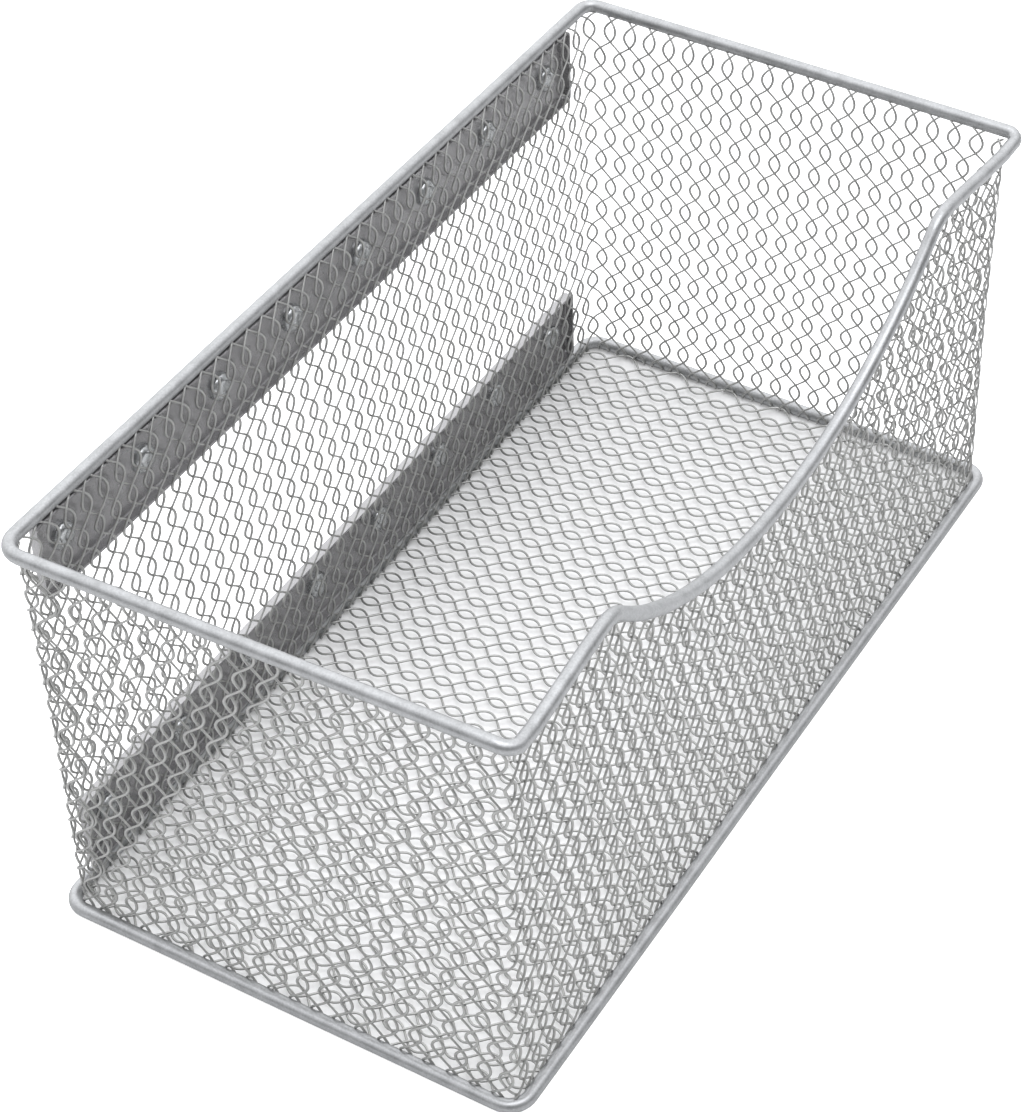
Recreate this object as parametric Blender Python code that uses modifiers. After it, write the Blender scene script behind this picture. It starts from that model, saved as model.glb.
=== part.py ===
"""Wire mesh basket: two round bar rims, a band of wall mesh with a scooped front, a floor mesh,
and two pressed rails on the back wall, each with a row of rivets and a magnet strip."""

import math

import bmesh
import bpy
from mathutils import Matrix

# Driving dimensions, in metres. X runs along the basket, -Y is the scooped front, +Y the back.
basket_length = 0.226
basket_depth = 0.1143
basket_height = 0.1028
bar_diameter = 0.0032
scoop_drop = 0.0274
scoop_radius = 0.104
rail_length = 0.202
rail_height = 0.0181

# Rims, centre line radii
bar_sides = 12
top_corner_radius = 0.004
foot_corner_radius = 0.0047
foot_inset = 0.0001
front_bow = 0.0026
front_draw = 0.0017
shoulder_radius = 0.008
corner_steps = 5
scoop_steps = 16
shoulder_steps = 4
level_steps = 3

# Nets: plates cut with the wires' pattern of small eyes and larger gaps between them
net_inset = 0.0043
net_thickness = 0.001
net_cell_width = 0.0195
net_row_height = 0.028
strand_width = 0.0017
eye_share = 0.24
floor_level = 0.0011
smallest_hole = 0.0035
point_gap = 0.0004
front_edge_steps = 24
floor_corner_steps = 3

# Rails: shallow trays that open toward the wall mesh
sheet = 0.0006
web_proud = 0.0002
rail_depth = 0.0028
rail_corner_radius = 0.0018
rail_corner_steps = 3
lower_rail_rise = 0.0047        # from the ground to the lower rail

# Rivets through the rail's web, with low domed heads toward the mesh
rivet_count = 8
rivet_pitch = 0.0266
shank_radius = 0.0019
head_radius = 0.0037
head_crown_radius = 0.0015      # the flat at the top of the head
head_rise = 0.00195             # from the web to the top of the head
head_rim = 0.0004
rivet_sides = 16
crown_steps = 4

# Magnet strips on the rail's outer face
magnet_length = 0.188
magnet_height = 0.0075
magnet_thickness = 0.0018
magnet_edge = 0.0004

# Clearances and the overrun of cuts
gap = 0.0003
overrun = 0.002

# Derived values
bar_radius = bar_diameter / 2
bar_rest = bar_radius * math.cos(math.pi / bar_sides)
bar_tilt = math.pi / bar_sides
half_length = basket_length / 2
half_depth = basket_depth / 2
top_x = half_length - bar_rest
top_y = half_depth - bar_rest
top_z = basket_height - bar_rest
foot_x = top_x - foot_inset
foot_y = top_y - foot_inset
wall_top = basket_height - 2 * bar_rest - gap
wall_bottom = 2 * bar_rest + gap
wall_x = half_length - net_inset
web_outer_y = half_depth + web_proud
front_y = half_depth - net_inset
back_y = web_outer_y - rail_depth - gap
end_front = front_y - net_thickness - gap
end_back = back_y - net_thickness - gap
magnet_y = web_outer_y + gap
upper_rail_z = wall_top - rail_height / 2
lower_rail_z = lower_rail_rise + rail_height / 2
back_stand = web_proud + gap + magnet_thickness
scoop_centre_z = top_z - scoop_drop + scoop_radius
shoulder_z = top_z - shoulder_radius
shoulder_x = math.sqrt((scoop_radius + shoulder_radius) ** 2 - (scoop_centre_z - shoulder_z) ** 2)
scoop_angle = math.asin(shoulder_x / (scoop_radius + shoulder_radius))
scoop_end_x = scoop_radius * math.sin(scoop_angle)

# Remove whatever the scene holds
for old in list(bpy.data.objects):
    bpy.data.objects.remove(old, do_unlink=True)

scene = bpy.context.scene
basket = bpy.data.collections.new("wire_mesh_basket")
cutters = bpy.data.collections.new("cutters")
scene.collection.children.link(basket)
scene.collection.children.link(cutters)

# The frame sets the origin under the middle of the whole object, magnets included
frame = bpy.data.objects.new("basket_frame", None)
frame.location = (0, -back_stand / 2, 0)
basket.objects.link(frame)


def make_material(name, colour, roughness, metallic):
    """A Principled BSDF with one colour, roughness and metallic value."""
    material = bpy.data.materials.new(name)
    material.use_nodes = True
    shader = material.node_tree.nodes["Principled BSDF"]
    shader.inputs["Base Color"].default_value = (*colour, 1)
    shader.inputs["Roughness"].default_value = roughness
    shader.inputs["Metallic"].default_value = metallic
    material.diffuse_color = (*colour, 1)
    return material


def place(name, data, material, location=(0, 0, 0), rotation=(0, 0, 0), collection=basket):
    """Link a new object under the frame, with its material."""
    item = bpy.data.objects.new(name, data)
    item.location = location
    item.rotation_euler = rotation
    item.parent = frame
    if material is not None and not data.materials:
        data.materials.append(material)
    collection.objects.link(item)
    return item


def arc(centre_x, centre_y, radius, start, end, steps):
    """Points on a circle from one angle to another, ends included."""
    return [(centre_x + radius * math.cos(start + (end - start) * i / steps),
             centre_y + radius * math.sin(start + (end - start) * i / steps)) for i in range(steps + 1)]


def front_profile():
    """Points (x, z) along the front of the top rim: level, shoulder, scoop arc, shoulder, level."""
    half = [(scoop_radius * math.sin(scoop_angle * i / scoop_steps),
             scoop_centre_z - scoop_radius * math.cos(scoop_angle * i / scoop_steps))
            for i in range(scoop_steps + 1)]
    for i in range(1, shoulder_steps + 1):
        turn = scoop_angle * (1 - i / shoulder_steps)
        half.append((shoulder_x - shoulder_radius * math.sin(turn), shoulder_z + shoulder_radius * math.cos(turn)))
    end_x = top_x - front_draw - top_corner_radius
    for i in range(1, level_steps):
        half.append((shoulder_x + (end_x - shoulder_x) * i / level_steps, top_z))
    return [(-x, z) for x, z in reversed(half[1:])] + half


def bar_loop(name, points, material):
    """A closed round bar through the points, with a flat side of its section facing down."""
    data = bpy.data.curves.new(name, "CURVE")
    data.dimensions = "3D"
    data.twist_mode = "Z_UP"
    data.bevel_depth = bar_radius
    data.bevel_resolution = bar_sides // 2 - 2
    data.resolution_u = 1
    data.render_resolution_u = 0
    spline = data.splines.new("POLY")
    spline.points.add(len(points) - 1)
    for spot, (x, y, z) in zip(spline.points, points):
        spot.co = (x, y, z, 1)
        spot.tilt = bar_tilt
    spline.use_cyclic_u = True
    return place(name, data, material)


def make_top_rim(material):
    """The top frame: back and ends level, the front bowed inward and dipped in the middle."""
    r = top_corner_radius
    quarter = math.pi / 2
    front_x = top_x - front_draw
    path = [(x, -top_y + front_bow * (1 - (x / front_x) ** 2), z) for x, z in front_profile()]
    corners = [(front_x - r, -top_y + r, -quarter), (top_x - r, top_y - r, 0),
               (r - top_x, top_y - r, quarter), (r - front_x, -top_y + r, 2 * quarter)]
    for x, y, start in corners:
        path += [(u, v, top_z) for u, v in arc(x, y, r, start, start + quarter, corner_steps)]
    return bar_loop("top_rim", path, material)


def make_bottom_rim(material):
    """The foot frame: a rounded rectangle that lies on the ground."""
    r = foot_corner_radius
    quarter = math.pi / 2
    path = []
    for x, y, start in [(foot_x - r, r - foot_y, -quarter), (foot_x - r, foot_y - r, 0),
                        (r - foot_x, foot_y - r, quarter), (r - foot_x, r - foot_y, 2 * quarter)]:
        path += [(u, v, bar_rest) for u, v in arc(x, y, r, start, start + quarter, corner_steps)]
    return bar_loop("bottom_rim", path, material)


def shrink(points, distance):
    """Move every side of a counter-clockwise outline inward by the distance."""
    result = []
    count = len(points)
    for i in range(count):
        (ax, ay), (bx, by), (cx, cy) = points[i - 1], points[i], points[(i + 1) % count]
        first = math.hypot(bx - ax, by - ay)
        second = math.hypot(cx - bx, cy - by)
        n1 = ((ay - by) / first, (bx - ax) / first)
        n2 = ((by - cy) / second, (cx - bx) / second)
        scale = distance / (1 + n1[0] * n2[0] + n1[1] * n2[1])
        result.append((bx + (n1[0] + n2[0]) * scale, by + (n1[1] + n2[1]) * scale))
    return result


def clip(points, px, py, nx, ny):
    """Keep the part of an outline on the side of the line through (px, py) that its normal points to."""
    kept = []
    count = len(points)
    for i in range(count):
        a, b = points[i - 1], points[i]
        da = (a[0] - px) * nx + (a[1] - py) * ny
        db = (b[0] - px) * nx + (b[1] - py) * ny
        if (da < 0) != (db < 0):
            t = da / (da - db)
            kept.append((a[0] + (b[0] - a[0]) * t, a[1] + (b[1] - a[1]) * t))
        if db >= 0:
            kept.append(b)
    return kept


def tidy(points):
    """Drop points that nearly meet their neighbour."""
    kept = []
    for point in points:
        if not kept or math.dist(point, kept[-1]) > point_gap:
            kept.append(point)
    if len(kept) > 1 and math.dist(kept[0], kept[-1]) <= point_gap:
        kept.pop()
    return kept


def area(points):
    """Area of an outline."""
    return abs(sum(points[i - 1][0] * points[i][1] - points[i][0] * points[i - 1][1]
                   for i in range(len(points)))) / 2


def net_holes(left, right, low, high, edge_lines=None):
    """Eyes and gaps of the wire pattern inside a rectangle, fitted so that its sides halve a cell.

    Each eye is a small upright lozenge. Each gap is a taller figure with a waist beside the eyes.
    edge_lines(x) gives more lines to clip with, for a net whose upper edge is curved."""
    columns = round((right - left) / net_cell_width)
    rows = round((high - low) / net_row_height)
    w = (right - left) / columns
    h = (high - low) / rows
    a = w * eye_share
    eye = shrink([(0, -h / 3), (a, 0), (0, h / 3), (-a, 0)], strand_width / 2)
    half = [(0, -2 * h / 3), (w / 2, -h / 3), (w / 2 - a, 0), (w / 2, h / 3)]
    hollow = shrink(half + [(-x, -y) for x, y in half], strand_width / 2)
    border = strand_width
    holes = []
    for row in range(rows + 1):
        y = low + row * h
        for step in range(2 * columns + 1):
            x = left + step * w / 2
            shape = eye if (step + row) % 2 == 0 else hollow
            outline = [(x + u, y + v) for u, v in shape]
            lines = [(left + border, low, 1, 0), (right - border, low, -1, 0),
                     (left, low + border, 0, 1), (left, high - border, 0, -1)]
            if edge_lines:
                lines += edge_lines(x)
            for line in lines:
                outline = clip(outline, *line)
                if not outline:
                    break
            outline = tidy(outline)
            if len(outline) > 2 and area(outline) > smallest_hole ** 2:
                holes.append(outline)
    return holes


def net_plate(name, outline, holes, material, location, rotation):
    """A flat plate with holes: a filled 2D curve, extruded by half its thickness each way."""
    data = bpy.data.curves.new(name, "CURVE")
    data.dimensions = "2D"
    data.fill_mode = "BOTH"
    data.extrude = net_thickness / 2
    data.resolution_u = 1
    data.render_resolution_u = 0
    for points in [outline] + holes:
        spline = data.splines.new("POLY")
        spline.points.add(len(points) - 1)
        for spot, (x, y) in zip(spline.points, points):
            spot.co = (x, y, 0, 1)
        spline.use_cyclic_u = True
    return place(name, data, material, location, rotation)


def rectangle(left, right, low, high):
    """Corners of an upright rectangle."""
    return [(left, low), (right, low), (right, high), (left, high)]


def scoop_edge(x):
    """Height of the front mesh's upper edge, under the rim's underside, and its slope there."""
    reach = abs(x)
    clear = bar_radius + gap
    if reach <= scoop_end_x:
        turn = math.asin(reach / scoop_radius)
        rise = scoop_centre_z - (scoop_radius + clear) * math.cos(turn)
        return math.copysign((scoop_radius + clear) * math.sin(turn), x), rise, math.copysign(turn, x)
    turn = math.asin(max(0, min(1, (shoulder_x - reach) / shoulder_radius)))
    inner = shoulder_radius - clear
    rise = shoulder_z + inner * math.cos(turn)
    across = max(reach, shoulder_x) if reach > shoulder_x else shoulder_x - inner * math.sin(turn)
    return math.copysign(across, x), rise, math.copysign(turn, x)


def scoop_lines(x):
    """The line along the scooped edge nearest to x, moved in by one strand."""
    px, pz, turn = scoop_edge(math.copysign(min(abs(x), scoop_end_x), x))
    return [(px + strand_width * math.sin(turn), pz - strand_width * math.cos(turn),
             math.sin(turn), -math.cos(turn))]


def make_nets(material):
    """Back, front, left and right wall meshes, and the floor mesh."""
    upright = (math.pi / 2, 0, 0)
    sideways = (math.pi / 2, 0, math.pi / 2)
    middle = net_thickness / 2
    wall = (wall_bottom, wall_top)
    net_plate("back_mesh", rectangle(-wall_x, wall_x, *wall), net_holes(-wall_x, wall_x, *wall),
              material, (0, back_y - middle, 0), upright)
    edge = [scoop_edge(shoulder_x * (1 - 2 * i / front_edge_steps))[:2] for i in range(front_edge_steps + 1)]
    outline = [(-wall_x, wall_bottom), (wall_x, wall_bottom), (wall_x, wall_top)] + edge + [(-wall_x, wall_top)]
    net_plate("front_mesh", outline, net_holes(-wall_x, wall_x, *wall, scoop_lines),
              material, (0, middle - front_y, 0), upright)
    for name, x in [("left_mesh", middle - wall_x), ("right_mesh", wall_x - middle)]:
        net_plate(name, rectangle(-end_front, end_back, *wall), net_holes(-end_front, end_back, *wall),
                  material, (x, 0, 0), sideways)
    r = foot_corner_radius - bar_radius - gap
    quarter = math.pi / 2
    floor_x = foot_x - bar_radius - gap
    floor_y = foot_y - bar_radius - gap
    outline = []
    for x, y, start in [(floor_x - r, r - floor_y, -quarter), (floor_x - r, floor_y - r, 0),
                        (r - floor_x, floor_y - r, quarter), (r - floor_x, r - floor_y, 2 * quarter)]:
        outline += arc(x, y, r, start, start + quarter, floor_corner_steps)
    holes = net_holes(-floor_x, floor_x, -floor_y, floor_y)
    diagonal = r * math.sqrt(0.5)
    for side_x in (-1, 1):
        for side_y in (-1, 1):
            cx = side_x * (floor_x - r + diagonal - strand_width)
            cy = side_y * (floor_y - r + diagonal - strand_width)
            holes = [tidy(clip(hole, cx, cy, -side_x, -side_y)) for hole in holes]
    net_plate("floor_mesh", outline, holes, material, (0, 0, floor_level + middle), (0, 0, 0))


def rivet_places():
    """Places of the rivets along the rail."""
    return [(i - (rivet_count - 1) / 2) * rivet_pitch for i in range(rivet_count)]


def make_rail(name, middle_z, material):
    """A pressed tray: a box open toward the wall mesh, with rounded corners, thickened inward.
    Its web has a row of round holes for the rivets."""
    form = bmesh.new()
    bmesh.ops.create_cube(form, size=1)
    bmesh.ops.scale(form, vec=(rail_length, rail_depth, rail_height), verts=form.verts)
    open_side = [f for f in form.faces if f.normal.y < -0.5]
    bmesh.ops.delete(form, geom=open_side, context="FACES_ONLY")
    across = [e for e in form.edges if abs(e.verts[0].co.y - e.verts[1].co.y) > rail_depth / 2]
    bmesh.ops.bevel(form, geom=across, offset=rail_corner_radius, segments=rail_corner_steps,
                    profile=0.5, affect="EDGES")
    data = bpy.data.meshes.new(name)
    form.to_mesh(data)
    form.free()
    rail = place(name, data, material, (0, web_outer_y - rail_depth / 2, middle_z))
    shell = rail.modifiers.new("sheet", "SOLIDIFY")
    shell.thickness = sheet
    shell.offset = -1
    shell.use_even_offset = True

    drill = bmesh.new()
    for x in rivet_places():
        bmesh.ops.create_cone(drill, cap_ends=True, segments=rivet_sides, radius1=shank_radius + gap,
                              radius2=shank_radius + gap, depth=sheet + 2 * overrun,
                              matrix=Matrix.Translation((x, 0, 0)) @ Matrix.Rotation(math.pi / 2, 4, "X"))
    cut_data = bpy.data.meshes.new(name + "_holes")
    drill.to_mesh(cut_data)
    drill.free()
    cutter = place(name + "_holes", cut_data, None,
                   (0, web_outer_y - sheet / 2, middle_z), collection=cutters)
    cutter.hide_render = True
    cutter.display_type = "WIRE"
    cut = rail.modifiers.new("rivet_holes", "BOOLEAN")
    cut.operation = "DIFFERENCE"
    cut.solver = "EXACT"
    cut.object = cutter
    return rail


def make_rivet_data():
    """A turned rivet: a shank in the web's hole, and a head with an upright rim, a domed side and a flat top."""
    under = sheet + gap
    top = sheet + head_rise
    side = under + head_rim
    profile = [(0, 0), (shank_radius, 0), (shank_radius, under), (head_radius, under)]
    for i in range(crown_steps + 1):
        turn = math.pi / 2 * i / crown_steps
        profile.append((head_crown_radius + (head_radius - head_crown_radius) * math.cos(turn),
                        side + (top - side) * math.sin(turn)))
    profile.append((0, top))
    data = bpy.data.meshes.new("rivet")
    form = bmesh.new()
    spots = [form.verts.new((x, 0, z)) for x, z in profile]
    for a, b in zip(spots, spots[1:]):
        form.edges.new((a, b))
    bmesh.ops.spin(form, geom=form.verts[:] + form.edges[:], cent=(0, 0, 0), axis=(0, 0, 1),
                   angle=2 * math.pi, steps=rivet_sides, use_merge=True)
    bmesh.ops.remove_doubles(form, verts=form.verts, dist=gap / 10)
    bmesh.ops.recalc_face_normals(form, faces=form.faces)
    form.to_mesh(data)
    form.free()
    for face in data.polygons:
        face.use_smooth = True
    data.set_sharp_from_angle(angle=math.radians(30))
    return data


def make_magnet(name, middle_z, data, material):
    """A flat magnet strip along the middle of the rail's outer face."""
    strip = place(name, data, material, (0, magnet_y + magnet_thickness / 2, middle_z))
    edge = strip.modifiers.new("edge", "BEVEL")
    edge.width = magnet_edge
    edge.segments = 1
    edge.limit_method = "ANGLE"
    return strip


rim_material = make_material("silver_painted_bar", (0.52, 0.53, 0.54), 0.3, 0.85)
net_material = make_material("silver_painted_wire", (0.42, 0.43, 0.43), 0.42, 0.8)
rail_material = make_material("silver_painted_sheet", (0.3, 0.31, 0.32), 0.5, 0.7)
rivet_material = make_material("bright_rivet", (0.62, 0.63, 0.64), 0.22, 0.95)
magnet_material = make_material("ferrite_magnet", (0.045, 0.045, 0.048), 0.7, 0)

make_top_rim(rim_material)
make_bottom_rim(rim_material)
make_nets(net_material)

rivet_data = make_rivet_data()
magnet_data = bpy.data.meshes.new("magnet_strip")
block = bmesh.new()
bmesh.ops.create_cube(block, size=1)
bmesh.ops.scale(block, vec=(magnet_length, magnet_thickness, magnet_height), verts=block.verts)
block.to_mesh(magnet_data)
block.free()

for level, middle_z in (("upper", upper_rail_z), ("lower", lower_rail_z)):
    make_rail(level + "_rail", middle_z, rail_material)
    make_magnet(level + "_magnet", middle_z, magnet_data, magnet_material)
    for i, x in enumerate(rivet_places()):
        place(level + "_rivet_" + str(i + 1), rivet_data, rivet_material,
              (x, web_outer_y, middle_z), (math.pi / 2, 0, 0))
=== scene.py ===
"""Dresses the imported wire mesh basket: round rims, hooked spiral wires, pressed rails, rivets and magnets.

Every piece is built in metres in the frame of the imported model: X along the basket, -Y the scooped
front, +Y the back wall with the rails, Z up from the ground."""

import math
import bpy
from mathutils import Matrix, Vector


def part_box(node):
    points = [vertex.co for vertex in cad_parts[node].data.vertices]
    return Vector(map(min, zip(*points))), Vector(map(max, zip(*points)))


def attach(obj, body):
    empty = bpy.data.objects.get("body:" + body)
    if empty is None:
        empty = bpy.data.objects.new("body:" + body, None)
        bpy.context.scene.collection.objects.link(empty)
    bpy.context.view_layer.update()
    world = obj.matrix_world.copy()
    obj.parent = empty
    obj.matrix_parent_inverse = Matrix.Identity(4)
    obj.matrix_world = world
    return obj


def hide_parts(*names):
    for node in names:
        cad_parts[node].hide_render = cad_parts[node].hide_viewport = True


bl_info = {
    "name": "Wire Mesh Basket",
    "version": (1, 0, 0),
    "blender": (4, 5, 0),
    "location": "View3D > Sidebar > Basket",
    "description": "Builds a wire mesh basket with a scooped front, and a pale studio round it",
    "category": "Add Mesh",
}

import bpy
import numpy as np
from mathutils import Matrix

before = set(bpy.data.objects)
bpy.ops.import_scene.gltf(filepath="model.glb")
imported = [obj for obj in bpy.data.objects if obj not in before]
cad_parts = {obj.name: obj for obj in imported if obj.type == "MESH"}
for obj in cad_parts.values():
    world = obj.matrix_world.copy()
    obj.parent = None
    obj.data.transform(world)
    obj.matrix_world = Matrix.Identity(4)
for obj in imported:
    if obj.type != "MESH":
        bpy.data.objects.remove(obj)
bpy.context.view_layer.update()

TURN = 2 * math.pi
QUARTER = math.pi / 2
MM = 0.001
UP = (0, 0, 1.0)
TOP_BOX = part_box("top_rim")
MIDDLE_Y = (TOP_BOX[0].y + TOP_BOX[1].y) / 2    # the rims' middle: the magnets stand out behind it


def linear(code):
    """An sRGB hex colour as linear RGBA."""
    channels = [int(code[i:i + 2], 16) / 255 for i in (1, 3, 5)]
    return tuple(c / 12.92 if c <= 0.04045 else ((c + 0.055) / 1.055) ** 2.4 for c in channels) + (1.0,)


# ---- settings ----

def length(name, description, default):
    """A length in metres, shown in the user's unit."""
    return bpy.props.FloatProperty(name=name, description=description, default=default, unit="LENGTH",
                                   precision=5)


def lengths(name, description, defaults):
    """Four lengths in metres, one for each corner."""
    return bpy.props.FloatVectorProperty(name=name, description=description, default=defaults, unit="LENGTH",
                                         size=4, precision=5)


def colour(name, description, code):
    """A colour, given as an sRGB hex value."""
    return bpy.props.FloatVectorProperty(name=name, description=description, default=linear(code),
                                         subtype="COLOR", size=4, min=0, max=1)


class BasketSizes(bpy.types.PropertyGroup):
    """Sizes of the basket's bars, wires and sheet."""
    overall_x: length("Length", "Outside length of the top rim", TOP_BOX[1].x - TOP_BOX[0].x)
    overall_y: length("Depth", "Outside depth of the top rim", TOP_BOX[1].y - TOP_BOX[0].y)
    overall_z: length("Height", "From the ground to the top of the top rim", TOP_BOX[1].z)
    bar: length("Bar diameter", "Thickness of both rims", 3.05 * MM)
    foot_inset: length("Foot rim inset", "How far the foot rim lies inside the top rim", 0.1 * MM)
    top_corners: lengths("Top corner radii", "Bends of the top rim, to its centre line: back right, "
                         "front right, front left, back left", (3.4 * MM, 2 * MM, 3.4 * MM, 4.8 * MM))
    foot_corner: length("Foot corner radius", "Bend of the foot rim, to its centre line", 4.7 * MM)
    scoop_radius: length("Scoop radius", "Radius of the dipped front, to the bar's centre line", 104 * MM)
    scoop_drop: length("Scoop depth", "How far the front dips at its middle", 27.4 * MM)
    shoulder: length("Shoulder radius", "Bend between the scoop and the level part", 8 * MM)
    front_bow: length("Front bow", "How far the front rim bows inward at its middle", 2.6 * MM)
    front_draw: length("Front draw", "How far the front corners are drawn together", 2 * MM)
    wire: length("Wire diameter", "Thickness of the mesh wire", 0.54 * MM)
    end_inset: length("End mesh inset", "From the top rim's outside in to the end walls at half height",
                      4.05 * MM)
    side_inset: length("Side mesh inset", "From the top rim's outside in to the long walls at half height",
                       3.6 * MM)
    mesh_lean: length("Mesh lean", "How far the wall mesh leans inward over its height", 0.5 * MM)
    mesh_corners: lengths("Mesh corner radii", "Bends of the wall mesh: back right, front right, front left, "
                          "back left", (2.4 * MM, 4.4 * MM, 1.6 * MM, 1.8 * MM))
    mesh_spread: length("Mesh corner spread", "How far the mesh's corners reach out below the top rim",
                        0.75 * MM)
    row_pitch: length("Row pitch", "Distance between two rows of eyes", 7.34 * MM)
    first_row: length("First row", "Height of the lowest row of eyes", 8.3 * MM)
    swing: length("Wire swing", "How far each wire swings to either side", 2.7 * MM)
    twist_depth: length("Twist depth", "How far each wire leaves the middle of the mesh", 0.22 * MM)
    floor_height: length("Floor height", "Height of the middle of the floor mesh", 1.6 * MM)
    floor_eye_pitch: length("Floor eye pitch", "Distance between two eyes in a row of the floor mesh",
                            4.86 * MM)
    floor_row_pitch: length("Floor row pitch", "Distance between two rows of floor eyes", 7.29 * MM)
    sheet: length("Sheet thickness", "Thickness of the pressed rails", 0.6 * MM)
    sheet_bend: length("Sheet bend radius", "Outside radius of the rails' pressed edges", 1.1 * MM)
    rail_corner: length("Rail corner radius", "Radius of the rails' corners seen from the back", 1.4 * MM)
    rail_reach: length("Rail reach", "How far each rail spreads past its solid at the ends", 0.8 * MM)
    rail_drop: length("Rail drop", "How far each rail's lower flange lies below its solid", 1.2 * MM)
    rivet_pitch: length("Rivet pitch", "Distance between two rivets", 26.6 * MM)
    rivet_head: length("Rivet head radius", "Radius of a rivet's head", 3.2 * MM)
    rivet_rise: length("Rivet head height", "Height of a rivet's head", 1.8 * MM)
    rivet_crown: length("Rivet crown radius", "Radius of the flat on a rivet's head", 1.3 * MM)


class BasketFinish(bpy.types.PropertyGroup):
    """Colours of the basket's finishes."""
    bar: colour("Bar lacquer", "Silver lacquer on the rims", "#B1B2B3")
    wire: colour("Wire lacquer", "Silver lacquer on the mesh wires", "#B4B4B2")
    sheet: colour("Sheet lacquer", "Silver lacquer on the rails", "#ADACAD")
    rivet: colour("Rivet plating", "Bright plating on the rivets", "#C9CBCC")
    magnet: colour("Magnet", "Dark sintered magnet", "#37383A")


class BasketStudio(bpy.types.PropertyGroup):
    """Camera, lamp, dome and floor."""
    lens: bpy.props.FloatProperty(name="Focal length", description="Lens for a 36 mm frame", default=94.134,
                                  unit="CAMERA")
    shift_x: bpy.props.FloatProperty(name="Shift", description="Sideways shift of the lens", default=-0.0253)
    azimuth: bpy.props.FloatProperty(name="Azimuth", description="Camera's heading from +X towards +Y",
                                     default=0.54631, subtype="ANGLE")
    elevation: bpy.props.FloatProperty(name="Elevation", description="Camera's tilt below the horizon",
                                       default=0.73146, subtype="ANGLE")
    roll: bpy.props.FloatProperty(name="Roll", description="Camera's turn about its axis", default=0.02279,
                                  subtype="ANGLE")
    position: bpy.props.FloatVectorProperty(name="Position", description="Where the camera stands",
                                            default=(-0.409070, -0.245548, 0.463357), subtype="TRANSLATION")
    overhead: bpy.props.FloatProperty(name="Overhead lamp", description="Power of the large soft lamp above",
                                      default=9.0)
    sky: bpy.props.FloatProperty(name="Sky", description="Strength of the pale dome", default=1.15)
    floor_lift: bpy.props.FloatProperty(name="Floor lift", default=0.18,
                                        description="How much paler the floor shows inside the foot rim "
                                                    "than it is lit")


# ---- shapes ----

def write_mesh(name, points, face_groups, smooth=True):
    """A mesh from an array of points and a list of index arrays, one row for each face."""
    mesh = bpy.data.meshes.new(name)
    points = np.asarray(points, np.float32).reshape(-1, 3)
    loops = np.concatenate([group.ravel() for group in face_groups]).astype(np.int32)
    sizes = np.concatenate([np.full(len(group), group.shape[1]) for group in face_groups])
    starts = np.concatenate([[0], np.cumsum(sizes)[:-1]]).astype(np.int32)
    mesh.vertices.add(len(points))
    mesh.vertices.foreach_set("co", points.ravel())
    mesh.loops.add(len(loops))
    mesh.loops.foreach_set("vertex_index", loops)
    mesh.polygons.add(len(sizes))
    mesh.polygons.foreach_set("loop_start", starts)
    mesh.polygons.foreach_set("use_smooth", np.full(len(sizes), smooth))
    mesh.update(calc_edges=True)
    mesh.validate()
    return mesh


def place(name, mesh, material, node):
    """Link a finished piece, give it its material and let it stand for its CAD node."""
    piece = bpy.data.objects.new(name, mesh)
    mesh.materials.append(material)
    bpy.context.scene.collection.objects.link(piece)
    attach(piece, "root")
    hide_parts(node)


def unit(vectors):
    """Vectors along the last axis, scaled to length one."""
    return vectors / np.linalg.norm(vectors, axis=-1, keepdims=True)


def sweep(paths, radius, sides, outward, closed=False):
    """Round bars along many paths at once.

    paths is (bars, points, 3). At each point the ring is the centre plus radius times
    cos(a) * outward' + sin(a) * across, where across is the path's direction crossed with outward."""
    paths = np.asarray(paths, float)
    if closed:
        ahead = np.roll(paths, -1, axis=1) - np.roll(paths, 1, axis=1)
    else:
        ahead = np.gradient(paths, axis=1)
    ahead = unit(ahead)
    across = unit(np.cross(ahead, outward))
    out = np.cross(across, ahead)
    turn = np.arange(sides) * TURN / sides
    reach = np.broadcast_to(np.asarray(radius, float), paths.shape[:2])[..., None, None]
    rings = paths[:, :, None, :] + reach * (np.cos(turn)[:, None] * out[:, :, None, :]
                                            + np.sin(turn)[:, None] * across[:, :, None, :])
    bars, points = paths.shape[:2]
    index = np.arange(bars * points * sides).reshape(bars, points, sides)
    after = np.roll(index, -1, axis=1) if closed else index[:, 1:]
    before = index if closed else index[:, :-1]
    quads = np.stack([before, np.roll(before, -1, axis=2), np.roll(after, -1, axis=2), after], axis=-1)
    groups = [quads.reshape(-1, 4)]             # and, on an open bar, a flat face at each end
    if not closed:
        groups += [index[:, 0, ::-1], index[:, -1]]
    return rings, groups


def rounded_loop(half_x, half_y, corners, steps=24):
    """A rounded rectangle from the middle of its +Y side, towards +X: sides joined by quarter circles.

    corners is one radius, or four in the order in which they are met."""
    turn = np.linspace(0, QUARTER, steps)
    spots = [(np.array([0.0]), np.array([half_y]))]
    for start, sx, sy, r in zip((QUARTER, 0, -QUARTER, -math.pi), (1, 1, -1, -1), (1, -1, -1, 1),
                                np.broadcast_to(np.array(corners), 4)):
        spots.append((sx * (half_x - r) + r * np.cos(start - turn),
                      sy * (half_y - r) + r * np.sin(start - turn)))
    x = np.concatenate([s[0] for s in spots] + [[0.0]])
    y = np.concatenate([s[1] for s in spots] + [[half_y]])
    run = np.concatenate([[0], np.cumsum(np.hypot(np.diff(x), np.diff(y)))])
    return run, x, y


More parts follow.
